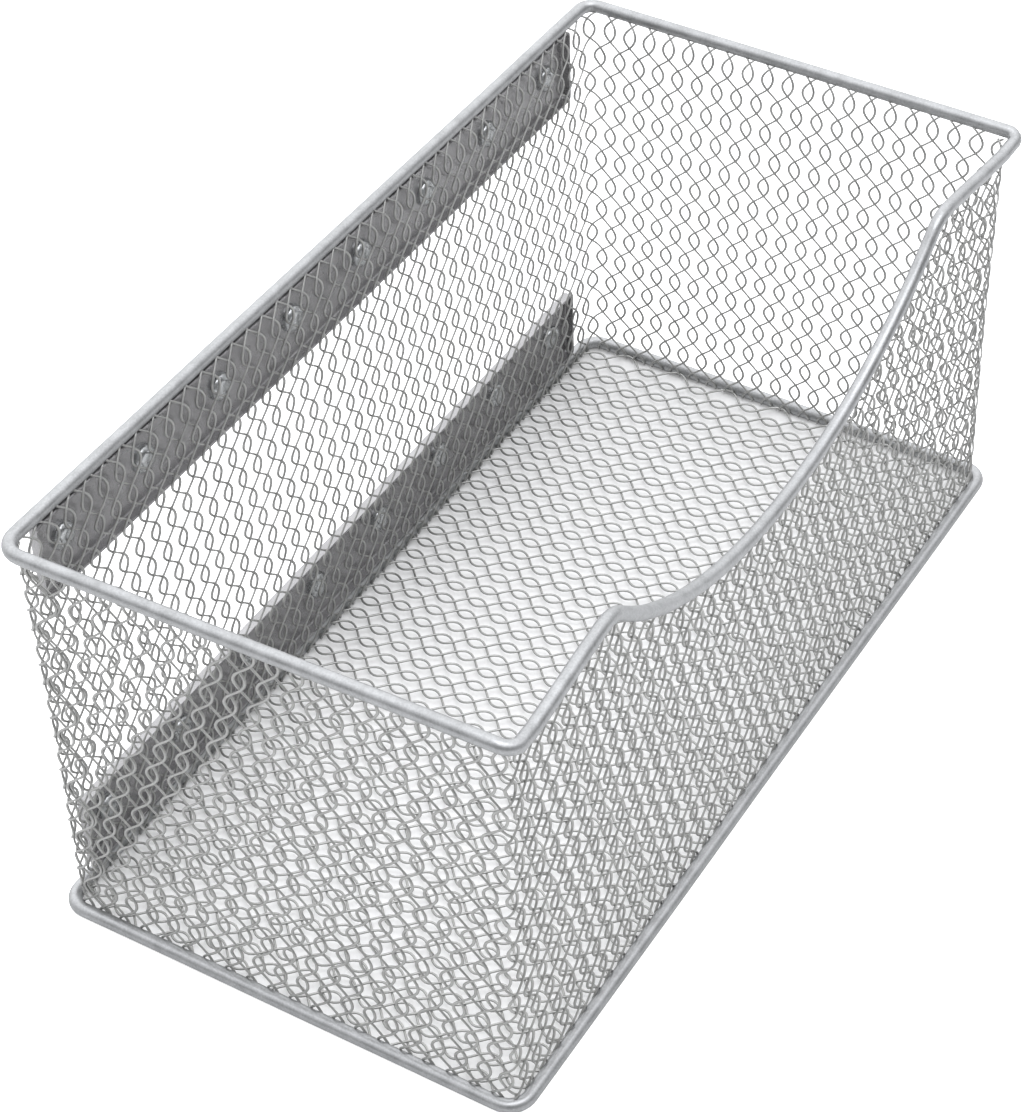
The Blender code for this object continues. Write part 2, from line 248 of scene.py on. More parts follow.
# How the bent bar of the front rim rises and sags beside the scoop, in mm: distance from the middle, rise.
HUMP = ((0, 0), (60, 0), (68, 0.35), (75, 0.9), (84, 0.2), (93, -0.7), (102, -1.4), (107, -1.0), (113, 0))
BAR_STEP = 0.8 * MM                         # steps along the rims' bars
BAR_SIDES = 28
BAR_WAVER = 0.18 * MM                       # size of the bars' unevenness


def bar_steps(points):
    """Points in even steps of about BAR_STEP along the closed polyline through the given ones, set round
    the rims' middle."""
    points = np.concatenate([points, points[:1]])
    run = np.concatenate([[0], np.cumsum(np.linalg.norm(np.diff(points, axis=0), axis=1))])
    at = np.linspace(0, run[-1], int(round(run[-1] / BAR_STEP)) + 1)[:-1]
    path = np.stack([np.interp(at, run, points[:, i]) for i in range(3)], axis=-1)
    path[:, 1] += MIDDLE_Y
    return path


def scoop_height(x, sizes):
    """Height of the front rim's centre line: level at the ends, a circular arc in the middle, and a
    small circular shoulder between, with the slight hump that the bent bar keeps beside the scoop."""
    x = np.abs(np.asarray(x, float))
    level = sizes.overall_z - sizes.bar / 2
    centre = level - sizes.scoop_drop + sizes.scoop_radius
    shoulder_z = level - sizes.shoulder
    shoulder_x = math.sqrt((sizes.scoop_radius + sizes.shoulder) ** 2 - (centre - shoulder_z) ** 2)
    arc_end = shoulder_x * sizes.scoop_radius / (sizes.scoop_radius + sizes.shoulder)
    arc = centre - np.sqrt(np.maximum(sizes.scoop_radius ** 2 - np.minimum(x, arc_end) ** 2, 0))
    bend = shoulder_z + np.sqrt(np.maximum(sizes.shoulder ** 2 - np.clip(shoulder_x - x, 0, None) ** 2, 0))
    z = np.where(x < arc_end, arc, np.where(x < shoulder_x, bend, level))
    return z + np.interp(x, *(np.array(HUMP).T * MM))


def top_path(sizes):
    """Centre line of the top rim: the front is a shallow parabola seen from above, the corners are
    quarter circles, and the front corners ease from the front's height at its ends to the level part."""
    half_x, half_y = (sizes.overall_x - sizes.bar) / 2, (sizes.overall_y - sizes.bar) / 2
    back_right, front_right, front_left, back_left = sizes.top_corners
    level = sizes.overall_z - sizes.bar / 2
    front_x = half_x - sizes.front_draw
    x = np.linspace(front_left - front_x, front_x - front_right, 400)
    y = -half_y + sizes.front_bow * (1 - (x / front_x) ** 2)
    spots = [np.stack([x, y, scoop_height(x, sizes)], axis=-1)]
    ease = np.linspace(1, 0, 16)
    turn = np.linspace(0, QUARTER, 16)
    for x_end, y_end, r, start, share in ((front_x, -half_y, front_right, -QUARTER, ease),
                                          (half_x, half_y, back_right, 0, 0 * ease),
                                          (-half_x, half_y, back_left, QUARTER, 0 * ease),
                                          (-front_x, -half_y, front_left, math.pi, 1 - ease)):
        cx, cy = x_end - math.copysign(r, x_end), y_end - math.copysign(r, y_end)
        edge = scoop_height(abs(cx), sizes) - level
        spots.append(np.stack([cx + r * np.cos(start + turn), cy + r * np.sin(start + turn),
                               level + edge * share], axis=-1))
    return bar_steps(np.concatenate(spots))


def foot_halves(sizes):
    """Half length and half depth of the foot rim, to its centre line."""
    return [(side - sizes.bar) / 2 - sizes.foot_inset for side in (sizes.overall_x, sizes.overall_y)]


def foot_path(sizes):
    """Centre line of the foot rim: a rounded rectangle that lies on the ground."""
    _, x, y = rounded_loop(*foot_halves(sizes), sizes.foot_corner)
    return bar_steps(np.stack([x, y, np.full_like(x, sizes.bar / 2)], axis=-1)[:-1])[::-1]


def waver(path, size, seed):
    """A bar's slight unevenness: a few slow sine waves along it, the shorter the lower, and lower up and
    down than sideways. They are the same each run."""
    draw = np.random.default_rng(seed)
    along = np.arange(len(path)) / len(path) * TURN
    shift = np.zeros_like(path)
    for turns in range(3, 12):
        phase = draw.uniform(0, TURN, 3)
        shift += np.sin(turns * along[:, None] + phase) * draw.uniform(0.3, 1, 3) / turns
    return path + shift * size * np.array([1, 1, 0.6])


# Eyes of the middle rows, counted round the walls, and where each lies along its wall in mm: in X on the
# back and the front wall, in Y on the end walls.
EYE_MARKS = ((-20, "back", -103.9), (-18, "back", -93.87), (-15, "back", -77.82), (-12, "back", -61.46),
             (-9, "back", -45.25), (-6, "back", -29.05), (-3, "back", -12.89), (0, "back", 3.47),
             (3, "back", 18.87), (6, "back", 34.43), (12, "back", 65.9), (17, "back", 91.9),
             (19, "back", 102.7), (21, "right", 47.55), (24, "right", 32.0), (27, "right", 16.3),
             (30, "right", 0.6), (34, "right", -20.3), (39, "right", -46.56), (42, "front", 99.68),
             (80, "front", -100.66), (83, "left", -47.17), (100, "left", 44.13))
EYES_ROUND = 123                            # eyes in one row round the four walls
SEAM_EYE = 100.75                           # the mesh band's two ends overlap here by one wire,
SEAM_ALONG, SEAM_OUT = 0.35 * MM, 0.5 * MM  # which lies so far along the wall and out from its neighbour
# How much higher than evenly spaced the rows lie, in mm: wall, place along it, rise at each of the heights.
ROW_LEVELS = (33.3, 61.3, 75.3, 89.3)
ROW_MARKS = (("back", -90, 0.1, 0.3, 0.4, -0.1), ("back", -60, 0.1, -0.2, 0, -0.7),
             ("back", -30, 0, -0.4, 0, -0.9), ("back", 0, -0.1, -0.9, -0.7, -0.7),
             ("back", 15, 0, -0.6, -0.2, -0.5), ("back", 30, 0.5, 0.2, 0.2, -0.4),
             ("back", 60, 0.9, 0.5, 0.3, -0.4), ("back", 90, 1.6, 0.8, 0.4, -0.4),
             ("right", 44, 0.3, 0.6, 0.6, 0.6), ("right", 26, 0.2, 0.1, 0.4, 0.7),
             ("right", -2, 0, -0.1, 0.2, 0.5), ("right", -26, 0.5, 0.2, 0.4, 0.6),
             ("front", 90, 0, 0, 0, 0), ("front", -90, 0, 0, 0, 0),
             ("left", -40, 0.4, 0.1, -0.1, -0.2), ("left", -18, 0.6, 0.2, -0.2, -0.3),
             ("left", 10, 0, 0, 0, 0), ("left", 44, 0, 0, 0, 0))
# How far the front wall is dented inward, in mm: place along X, then the dent at each of the heights.
DENT_LEVELS = (19.3, 37.3, 55.3)
DENT_MARKS = ((-100, 0, 0, 0), (-85, -0.3, -0.2, -0.5), (-60, 0.25, 0.15, 0), (-35, 0.35, 0.45, 0.55),
              (-10, -0.1, 0, 0.1), (15, 0.25, 0.1, 0.35), (40, 1.0, 0.95, 0.6), (65, 0.65, 0.05, 0.05),
              (90, 0.2, 0.05, -0.2), (100, 0, 0, 0))
MESH_SHIFT = (-0.4 * MM, -0.35 * MM)        # the wall mesh hangs a little off the rims' middle
CORNER_REACH = 7 * MM                       # how far along the wall a corner's spread is felt

WIRE_SIDES = 7
WIRE_WIDTHS = (0.88, 0.3)                   # shares of its thickness: between its bends, and added in them
WIRE_STEPS = 12                             # steps of a wall wire's path in one row
TURN_SPREAD, SWING_SPREAD = 0.03, 0.015     # unevenness of the wires: turn in radians, swing as a share
WIRE_DROP = 0.8 * MM                        # from the top rim's centre line down to the wires' ends
WIRE_HOLD = 1.2 * MM                        # and from it inward to them
WIRE_FOOT = 0.9 * MM                        # height of the wires' lower ends
FOOT_CLEAR = 0.1 * MM                       # between the foot rim and the middle of a wire's lower end
TOP_FLARE, TOP_EASE = 5 * MM, 1.5           # length and power of the wires' flare out to the top rim
FOOT_FLARE, FOOT_EASE = 4 * MM, 2           # and to the foot rim

FLOOR_MARK = (42.1 * MM, 6.5 * MM)          # an eye of the floor mesh, measured from the rims' middle
FLOOR_SPREAD = 0.9 * MM                     # how far past its even place towards +X a wire lies that is
FLOOR_FAR = 32                              # so many wires from the mark; it grows with their square
FLOOR_SKEW = ((-60, 0.3), (-30, 0.5), (0, -0.05), (30, -0.35), (90, -0.3))  # place in X, rows' shift, in mm
FLOOR_SWING = 0.94                          # the floor wires' swing as a share of the wall wires'
FLOOR_STEPS = 132                           # points of a floor wire's path
FLOOR_CLEAR = 0.6 * MM                      # least distance of the outermost wires from the foot rim
FLOOR_TUCK, FLOOR_BULGE = 0.5 * MM, 0.4 * MM    # how far under it wires end, and their swings may reach


def wall_table(sizes):
    """The wall mesh's outline at half height as a rounded rectangle, followed from the middle of the back
    wall towards +X, and what lies along it: run, x, y, the eye marks' places, their eye numbers, the
    middles of the corners, and the row marks' places."""
    half_x = sizes.overall_x / 2 - sizes.end_inset
    half_y = sizes.overall_y / 2 - sizes.side_inset
    run, x, y = rounded_loop(half_x, half_y, sizes.mesh_corners)
    r = np.array(sizes.mesh_corners)
    bend = QUARTER * r
    sides = np.array([half_x, 2 * half_y - r[0], 2 * half_x - r[1], 2 * half_y - r[2]]) - r
    ends = np.cumsum(sides + bend)              # where each corner's arc ends
    starts = {"back": (0, 0, 1), "right": (ends[0], half_y - r[0], -1),
              "front": (ends[1], half_x - r[1], -1), "left": (ends[2], r[2] - half_y, 1)}
    shift = {"back": MESH_SHIFT[0], "right": MESH_SHIFT[1], "front": MESH_SHIFT[0], "left": MESH_SHIFT[1]}

    def along(wall, at):
        """Place along the outline of a point at that X or Y in mm on a wall, whose start says where
        it begins in both, and whether it is followed up or down."""
        begin, first, way = starts[wall]
        return begin + way * (at * MM - shift[wall] - first)

    return (run, x, y, np.array([along(*mark[1:]) for mark in EYE_MARKS]),
            np.array([mark[0] for mark in EYE_MARKS], float), ends - bend / 2,
            np.array([along(*mark[:2]) for mark in ROW_MARKS]))


def between_levels(z, levels, values):
    """Values given at a few heights in mm, run straight from each to the next at the heights z."""
    result = values[0] + 0 * z
    for low, high, below, above in zip(levels, levels[1:], values, values[1:]):
        result = result + np.clip((z / MM - low) / (high - low), 0, 1) * (above - below)
    return result


def row_rise(along, z, rows, total):
    """How much higher the rows lie at each place and height, read off the row marks between which it lies."""
    rise = np.array([mark[2:] for mark in ROW_MARKS]) * MM
    order = np.argsort(np.mod(rows, total))
    at_levels = [np.interp(along, np.mod(rows, total)[order], level[order], period=total) for level in rise.T]
    return between_levels(z, ROW_LEVELS, at_levels)


def wall_point(along, out, z, sizes, outline):
    """Points on the wall band, and the outward direction there: along the rounded rectangle, moved outward.

    The band leans in with height, its front corners are drawn together, and its front bows in
    as the front rim does, all in proportion to the height. Above half height its corners reach out,
    and the front is dented inward by the dent marks."""
    run, x, y, corners = outline
    total = run[-1]
    at = np.mod(along, total)
    px, py = np.interp(at, run, x), np.interp(at, run, y)
    step = 0.05 * MM
    ax, ay = np.interp(np.mod(at + step, total), run, x), np.interp(np.mod(at + step, total), run, y)
    bx, by = np.interp(np.mod(at - step, total), run, x), np.interp(np.mod(at - step, total), run, y)
    size = np.hypot(ax - bx, ay - by)
    nx, ny = -(ay - by) / size, (ax - bx) / size
    rise = z / sizes.overall_z - 0.5
    across, forward = px / x.max(), -py / y.max()
    front = np.clip((forward - 0.9) / 0.1, 0, 1)    # 1 on the front wall, falling to 0 in its corners
    dents = np.array(DENT_MARKS).T * MM
    dent = between_levels(z, DENT_LEVELS, [np.interp(px, dents[0], level) for level in dents[1:]])
    bow = sizes.front_bow * front * (rise + 0.5) * (1 - across ** 2) + front * dent
    draw = (sizes.front_draw * (0.5 + forward / 2) + sizes.mesh_lean) * rise * across
    lean = sizes.mesh_lean * rise * (0.5 + forward / 2) * forward
    away = np.abs(at[..., None] - corners).min(axis=-1)
    spread = sizes.mesh_spread * np.exp(-(away / CORNER_REACH) ** 2) * np.clip(2 * rise, 0, 1)
    spot_x = px + nx * out - draw + np.sign(px) * spread + MESH_SHIFT[0]
    spot_y = py + ny * out + bow + lean + np.sign(py) * spread + MESH_SHIFT[1] + MIDDLE_Y
    return np.stack([spot_x, spot_y, z], axis=-1), np.stack([nx, ny, np.zeros_like(nx)], axis=-1)


def wall_wires(first, last, sizes, seed):
    """Paths of the wires whose places along the walls lie between first and last.

    Each wire swings sideways as swing * cos(t) and in depth as twist_depth * sin(t), with t turning once
    in two rows; neighbours are half a turn apart, so they hook into each other at every eye. Its last
    millimetres flare out to the rims, and it ends on the top rim's lower and the foot rim's inner side.
    The wire is pressed wider in its bends than between them. Gives paths, outward directions and radii."""
    run, x, y, places, eyes, corners, rows = wall_table(sizes)
    outline = (run, x, y, corners)
    draw = np.random.default_rng(seed)
    count = np.arange(2 * EYES_ROUND)
    eyes = np.append(eyes, eyes[0] + EYES_ROUND)
    places = np.append(places, places[0] + run[-1])
    number = eyes[0] + (count + 0.5) / 2
    along = np.interp(number, eyes, places)
    sign = np.where(count % 2 == 0, -1.0, 1.0)
    seam = np.argmin(np.abs(number - SEAM_EYE))
    beside = np.append(np.zeros(len(along)), SEAM_OUT)
    along, sign = np.append(along, along[seam] + SEAM_ALONG), np.append(sign, sign[seam])
    keep = np.mod(along - first, run[-1]) < last - first
    along, sign, beside = along[keep], sign[keep], beside[keep]
    level = sizes.overall_z - sizes.bar / 2
    heads, feet = (wall_point(along, 0 * along, 0 * along + height, sizes, outline)[0]
                   for height in (level, 0))
    on_front = heads[:, 1] - MIDDLE_Y < -y.max() * 0.9      # from well into the corners on
    top = np.where(on_front, scoop_height(heads[:, 0], sizes), level) - WIRE_DROP
    steps = int(round((level - WIRE_FOOT) / sizes.row_pitch * WIRE_STEPS))
    z = WIRE_FOOT + (top[:, None] - WIRE_FOOT) * np.linspace(0, 1, steps)[None, :]
    turn = math.pi * (z - sizes.first_row - row_rise(along[:, None], z, rows, run[-1])) / sizes.row_pitch
    turn = turn + draw.normal(0, TURN_SPREAD, len(along))[:, None]
    swing = sizes.swing * (1 + draw.normal(0, SWING_SPREAD, len(along)))[:, None]
    side = along[:, None] + sign[:, None] * swing * np.cos(turn)
    apart, apart_foot = (np.linalg.norm(spots[:, None, :2] - rim[None, :, :2], axis=-1).min(axis=1)
                         for spots, rim in ((heads, top_path(sizes)), (feet, foot_path(sizes))))
    near_top = np.clip(1 - (top[:, None] - z) / TOP_FLARE, 0, 1) ** TOP_EASE
    near_foot = np.clip(1 - (z - WIRE_FOOT) / FOOT_FLARE, 0, 1) ** FOOT_EASE
    twist = sign[:, None] * sizes.twist_depth * np.sin(turn) + beside[:, None]
    out = (twist * (1 - near_top - near_foot) + near_top * (apart[:, None] - WIRE_HOLD)
           + near_foot * (apart_foot[:, None] - sizes.bar / 2 - FOOT_CLEAR))
    between, added = WIRE_WIDTHS
    radius = sizes.wire / 2 * (between + added * np.cos(turn) ** 2)
    return *wall_point(side, out, z, sizes, outline), radius


def floor_wires(sizes):
    """Paths of the floor wires, which run across the basket, hooked like the wall wires. Each ends under
    the foot rim, sooner where the rim's corner is, and none swings out past the rim's ends."""
    half_x, half_y = foot_halves(sizes)
    step = sizes.floor_eye_pitch / 2
    reach = int(2 * half_x / step)
    number = np.arange(-reach, reach)
    x = FLOOR_MARK[0] + (number + 0.5) * step + FLOOR_SPREAD * (number / FLOOR_FAR) ** 2
    sign = np.where(number % 2 == 0, -1.0, 1.0)
    keep = np.abs(x) < half_x - sizes.bar / 2 - FLOOR_CLEAR
    x, sign = x[keep], sign[keep]
    edge = half_y - sizes.bar / 2 + FLOOR_TUCK
    r = sizes.foot_corner - sizes.bar / 2
    beyond = np.clip(np.abs(x) - (half_x - sizes.foot_corner), 0, r)
    end = edge - (r - np.sqrt(r ** 2 - beyond ** 2))
    y = end[:, None] * np.linspace(-1, 1, FLOOR_STEPS)[None, :]
    skew = np.array(FLOOR_SKEW).T * MM
    turn = math.pi * (y - FLOOR_MARK[1] - np.interp(x, *skew)[:, None]) / sizes.floor_row_pitch
    draw = np.random.default_rng(11)
    turn = turn + draw.normal(0, TURN_SPREAD, len(x))[:, None]
    swing = sizes.swing * FLOOR_SWING * (1 + draw.normal(0, SWING_SPREAD, len(x)))[:, None]
    limit = half_x - sizes.bar / 2 + FLOOR_BULGE
    side = np.clip(x[:, None] + sign[:, None] * swing * np.cos(turn), -limit, limit)
    z = sizes.floor_height + sign[:, None] * sizes.twist_depth * np.sin(turn)
    return np.stack([side, y + MIDDLE_Y, z], axis=-1)


TRAY_LIP = 0.12 * MM                        # chamfer on the edges of the tray's lip
TRAY_WEB = 4 * MM                           # from the tray's outline in to the flat face that fills its web
TRAY_LEAST = 0.2 * MM                       # least radius of the tray's corners, inside


def tray(low, high, sizes):
    """A pressed tray open towards -Y.

    Rounded rectangles stacked from the flange's edge to the middle of the web, first outside, then
    back along the inside one sheet thickness away, so the shell is closed at its lip. Each is given
    by its place in Y and how far it lies inside the tray's outline."""
    half = np.array([(high.x - low.x) / 2, (high.z - low.z) / 2])
    centre = np.array([(high.x + low.x) / 2, (high.z + low.z) / 2])
    front, back = low.y, high.y
    bend, t = sizes.sheet_bend, sizes.sheet
    small = bend - t
    turn = np.linspace(0, QUARTER, 7)
    outer = [(front, TRAY_LIP), (front + TRAY_LIP, 0.0)]
    outer += [(back - bend + bend * math.sin(a), bend - bend * math.cos(a)) for a in turn]
    outer += [(back, TRAY_WEB)]
    inner = [(back - t, TRAY_WEB)]
    inner += [(back - bend + small * math.sin(a), t + small - small * math.cos(a)) for a in turn[::-1]]
    inner += [(front + TRAY_LIP, t), (front, t - TRAY_LIP)]
    rings = []
    for depth, inset in outer + inner:
        corner = max(sizes.rail_corner - inset, TRAY_LEAST)
        _, x, z = rounded_loop(half[0] - inset, half[1] - inset, corner, 8)
        rings.append(np.stack([x[:-1] + centre[0], np.full(len(x) - 1, depth), z[:-1] + centre[1]], axis=-1))
    rings = np.array(rings)
    index = np.arange(rings[..., 0].size).reshape(rings.shape[:2])
    quads = ring_quads(np.concatenate([index, index[:1]]))
    web_out, web_in = len(outer) - 1, len(outer)
    groups = [np.delete(quads, web_out, axis=0).reshape(-1, 4),
              index[web_out][None], index[web_in][None, ::-1]]
    return rings.reshape(-1, 3), groups


def ring_quads(index):
    """Quads between each closed ring of point numbers and the next, as (rings - 1, around, 4)."""
    return np.stack([index[:-1], index[1:], np.roll(index[1:], -1, axis=1), np.roll(index[:-1], -1, axis=1)],
                    axis=-1)


def lathe(profile, sides, centre):
    """A profile of (radius, height) pairs turned about the line through centre that runs towards -Y, along
    which the heights are counted. Both its ends lie on that line."""
    profile = np.array(profile, float)
    turn = np.arange(sides) * TURN / sides
    radius, height = profile[1:-1, 0], profile[1:-1, 1]
    x = radius[:, None] * np.cos(turn)
    z = radius[:, None] * np.sin(turn)
    ring = np.stack([x, 0 * x - height[:, None], z], axis=-1).reshape(-1, 3)
    ends = np.array([[0, -profile[0, 1], 0], [0, -profile[-1, 1], 0]])
    index = np.arange(len(ring)).reshape(-1, sides)
    first, last = np.full((2, sides), [[len(ring)], [len(ring) + 1]])
    groups = [ring_quads(index).reshape(-1, 4),
              np.stack([first, index[0], np.roll(index[0], -1)], axis=-1),
              np.stack([last, np.roll(index[-1], -1), index[-1]], axis=-1)]
    return np.concatenate([ring, ends]) + np.array(centre), groups


# ---- finishes ----

def add(tree, kind, inputs=(), **settings):
    """Add a node, set its properties and inputs, and link those inputs that are given a socket."""
    made = tree.nodes.new(kind)
    for key, value in settings.items():
        setattr(made, key, value)
    for key, value in dict(inputs).items():
        if isinstance(value, bpy.types.NodeSocket):
            tree.links.new(value, made.inputs[key])
        else:
            made.inputs[key].default_value = value
    return made


MIX_A, MIX_B, MIX_RESULT = 6, 7, 2          # the colour sockets of a Mix node


def shade(tint, share):
    """A linear colour made darker or paler by a share."""
    return tuple(min(c * share, 1) for c in tint[:3]) + (1.0,)


def blank_material(name):
    """A material, and its emptied node tree."""
    material = bpy.data.materials.new(name)
    material.use_nodes = True
    material.node_tree.nodes.clear()
    return material, material.node_tree


def metallic_lacquer(name, tint, metallic, roughness, grain, grain_depth, patch):
    """Silver lacquer on steel, or plating: fine flakes that sparkle, slow patches where it lies thicker, and
    a light orange peel.

    grain is the flakes' size and patch the patches', both in metres. Both change the colour a little,
    the patches change the roughness too, and the peel is a bump of grain_depth over the flakes."""
    material, tree = blank_material(name)
    place_in = add(tree, "ShaderNodeTexCoord").outputs["Object"]
    flakes = add(tree, "ShaderNodeTexNoise", {"Vector": place_in, "Scale": 1 / grain, "Detail": 2.0,
                                              "Roughness": 0.6})
    patches = add(tree, "ShaderNodeTexNoise", {"Vector": place_in, "Scale": 1 / patch, "Detail": 3.0})
    both = add(tree, "ShaderNodeMath", {0: flakes.outputs["Fac"], 1: patches.outputs["Fac"]}, operation="ADD")
    share = add(tree, "ShaderNodeMapRange", {"Value": both.outputs[0], "From Min": 0.7, "From Max": 1.3})
    mixed = add(tree, "ShaderNodeMix", {0: share.outputs[0], MIX_A: shade(tint, 0.82),
                                        MIX_B: shade(tint, 1.15)}, data_type="RGBA")
    rough = add(tree, "ShaderNodeMapRange", {"Value": patches.outputs["Fac"], "From Min": 0.3,
                                             "From Max": 0.7, "To Min": roughness * 0.85,
                                             "To Max": roughness * 1.15})
    peel = add(tree, "ShaderNodeBump", {"Height": flakes.outputs["Fac"], "Distance": grain_depth,
                                        "Strength": 0.6})
    shader = add(tree, "ShaderNodeBsdfPrincipled", {"Base Color": mixed.outputs[MIX_RESULT],
                                                    "Metallic": metallic, "Roughness": rough.outputs[0],
                                                    "Normal": peel.outputs[0]})
    add(tree, "ShaderNodeOutputMaterial", {"Surface": shader.outputs[0]})
    return material


def sintered_ferrite(name, tint):
    """Ground ferrite: nearly black, dull, with a fine dry grain and paler ground patches."""
    grain_size, grain_depth, patch = 0.25 * MM, 0.03 * MM, 9 * MM
    material, tree = blank_material(name)
    place_in = add(tree, "ShaderNodeTexCoord").outputs["Object"]
    grain = add(tree, "ShaderNodeTexNoise", {"Vector": place_in, "Scale": 1 / grain_size, "Detail": 3.0})
    rubbed = add(tree, "ShaderNodeTexNoise", {"Vector": place_in, "Scale": 1 / patch, "Detail": 4.0})
    share = add(tree, "ShaderNodeMapRange", {"Value": rubbed.outputs["Fac"], "From Min": 0.45,
                                             "From Max": 0.8})
    mixed = add(tree, "ShaderNodeMix", {0: share.outputs[0], MIX_A: tint, MIX_B: shade(tint, 1.9)},
                data_type="RGBA")
    bump = add(tree, "ShaderNodeBump", {"Height": grain.outputs["Fac"], "Distance": grain_depth,
                                        "Strength": 0.8})
    shader = add(tree, "ShaderNodeBsdfPrincipled", {"Base Color": mixed.outputs[MIX_RESULT],
                                                    "Roughness": 0.62, "Normal": bump.outputs[0]})
    add(tree, "ShaderNodeOutputMaterial", {"Surface": shader.outputs[0]})
    return material


# Each silver finish: its colour's setting, metallic, roughness, grain, grain depth and patch size. The
# flakes are far finer on the real one, and are drawn as coarse as they need to show.
SILVERS = {
    # thick lacquer on the rims: a broad soft shine with a visible grain
    "silver_lacquered_bar": ("bar", 0.85, 0.4, 0.45 * MM, 0.012 * MM, 3.5 * MM),
    # the same lacquer lying thin and smooth on the wires
    "silver_lacquered_wire": ("wire", 0.85, 0.4, 0.2 * MM, 0.003 * MM, 6 * MM),
    # on flat sheet it levels out, so the rails mirror the dark side of the room more clearly
    "silver_lacquered_sheet": ("sheet", 0.75, 0.26, 0.3 * MM, 0.01 * MM, 8 * MM),
    # bare bright plating, which gives each rivet its glint
    "zinc_plated_rivet": ("rivet", 1.0, 0.27, 0.3 * MM, 0.004 * MM, 1.5 * MM),
}


def material_for(kind):
    """The finish of that name, made once."""
    ready = bpy.data.materials.get(kind)
    if ready:
        return ready
    finish = bpy.context.scene.basket_finish
    if kind in SILVERS:
        tint, *values = SILVERS[kind]
        return metallic_lacquer(kind, tuple(getattr(finish, tint)), *values)
    return sintered_ferrite(kind, tuple(finish.magnet))


# ---- operators ----

class BASKET_OT_rims(bpy.types.Operator):
    """Make the top rim with its scooped front, and the foot rim"""
    bl_idname = "basket.rims"
    bl_label = "Rims"

    def execute(self, context):
        sizes = context.scene.basket_sizes
        finish = material_for("silver_lacquered_bar")
        for name, path, node, seed in (("top_bar", top_path(sizes), "top_rim", 3),
                                       ("foot_bar", foot_path(sizes), "bottom_rim", 5)):
            bent = waver(path, BAR_WAVER, seed)
            rings, groups = sweep(bent[None], sizes.bar / 2, BAR_SIDES, UP, closed=True)
            place(name, write_mesh(name, rings, groups), finish, node)
        return {"FINISHED"}


class BASKET_OT_walls(bpy.types.Operator):
    """Make the wall mesh of hooked spiral wires, one piece for each wall"""
    bl_idname = "basket.walls"
    bl_label = "Wall mesh"

    def execute(self, context):
        sizes = context.scene.basket_sizes
        finish = material_for("silver_lacquered_wire")
        run, *_, corners, _ = wall_table(sizes)
        corners = np.append(corners[-1] - run[-1], corners)
        for i, name in enumerate(("back", "right", "front", "left")):
            paths, out, radius = wall_wires(corners[i], corners[i + 1], sizes, 21 + i)
            rings, groups = sweep(paths, radius, WIRE_SIDES, out)
            place(name + "_wires", write_mesh(name + "_wires", rings, groups), finish, name + "_mesh")
        return {"FINISHED"}


class BASKET_OT_floor(bpy.types.Operator):
    """Make the floor mesh of hooked spiral wires"""
    bl_idname = "basket.floor"
    bl_label = "Floor mesh"

    def execute(self, context):
        sizes = context.scene.basket_sizes
        rings, groups = sweep(floor_wires(sizes), sizes.wire / 2, WIRE_SIDES, UP)
        place("floor_wires", write_mesh("floor_wires", rings, groups), material_for("silver_lacquered_wire"),
              "floor_mesh")
        return {"FINISHED"}


class BASKET_OT_rails(bpy.types.Operator):
    """Make the two pressed rails on the back wall"""
    bl_idname = "basket.rails"
    bl_label = "Rails"

    def execute(self, context):
        sizes = context.scene.basket_sizes
        finish = material_for("silver_lacquered_sheet")
        for level in ("upper", "lower"):
            low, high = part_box(level + "_rail")
            low.x, high.x = low.x - sizes.rail_reach, high.x + sizes.rail_reach
            low.z -= sizes.rail_drop
            points, groups = tray(low, high, sizes)
            mesh = write_mesh(level + "_tray", points, groups)
            mesh.set_sharp_from_angle(angle=math.radians(40))
            place(level + "_tray", mesh, finish, level + "_rail")
        return {"FINISHED"}


RIVETS = 8                                  # in each rail
RIVET_SIDES = 40
RIVET_RIM = 0.35 * MM                       # height of a head's upright rim
RIVET_SINK = 0.2 * MM                       # how deep a head's underside lies in the sheet
RIVET_SWELL = 0.05 * MM                     # how far the middle of the crown stands above its edge


class BASKET_OT_rivets(bpy.types.Operator):
    """Make the domed rivets in both rails"""
    bl_idname = "basket.rivets"
    bl_label = "Rivets"

    def execute(self, context):
        sizes = context.scene.basket_sizes
        finish = material_for("zinc_plated_rivet")
        profile = self.profile(sizes.rivet_crown, sizes.rivet_head, sizes.rivet_rise)
        for level in ("upper", "lower"):
            low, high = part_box(level + "_rail")
            for number in range(1, RIVETS + 1):
                x = (number - (RIVETS + 1) / 2) * sizes.rivet_pitch
                name = f"{level}_rivet_head_{number}"
                points, groups = lathe(profile, RIVET_SIDES, (x, high.y - sizes.sheet, (low.z + high.z) / 2))
                mesh = write_mesh(name, points, groups)
                place(name, mesh, finish, f"{level}_rivet_{number}")
        return {"FINISHED"}

    def profile(self, crown, head, rise):
        """Half the outline of a head: underside, upright rim, quarter of an ellipse up to the flat crown."""
        side = [(crown + (head - crown) * math.cos(a), RIVET_RIM + (rise - RIVET_RIM) * math.sin(a))
                for a in np.linspace(0, QUARTER, 10)]
        return ([(0, -RIVET_SINK), (head * 0.99, -RIVET_SINK), (head, RIVET_SINK / 2)] + side
                + [(crown / 2, rise + RIVET_SWELL * 0.8), (0, rise + RIVET_SWELL)])


class BASKET_OT_magnets(bpy.types.Operator):
    """Give the magnet strips their finish"""
    bl_idname = "basket.magnets"
    bl_label = "Magnets"

    def execute(self, context):
        for name in ("upper_magnet", "lower_magnet"):
            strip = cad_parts[name]
            strip.data.materials.clear()
            strip.data.materials.append(material_for("sintered_ferrite"))
        return {"FINISHED"}


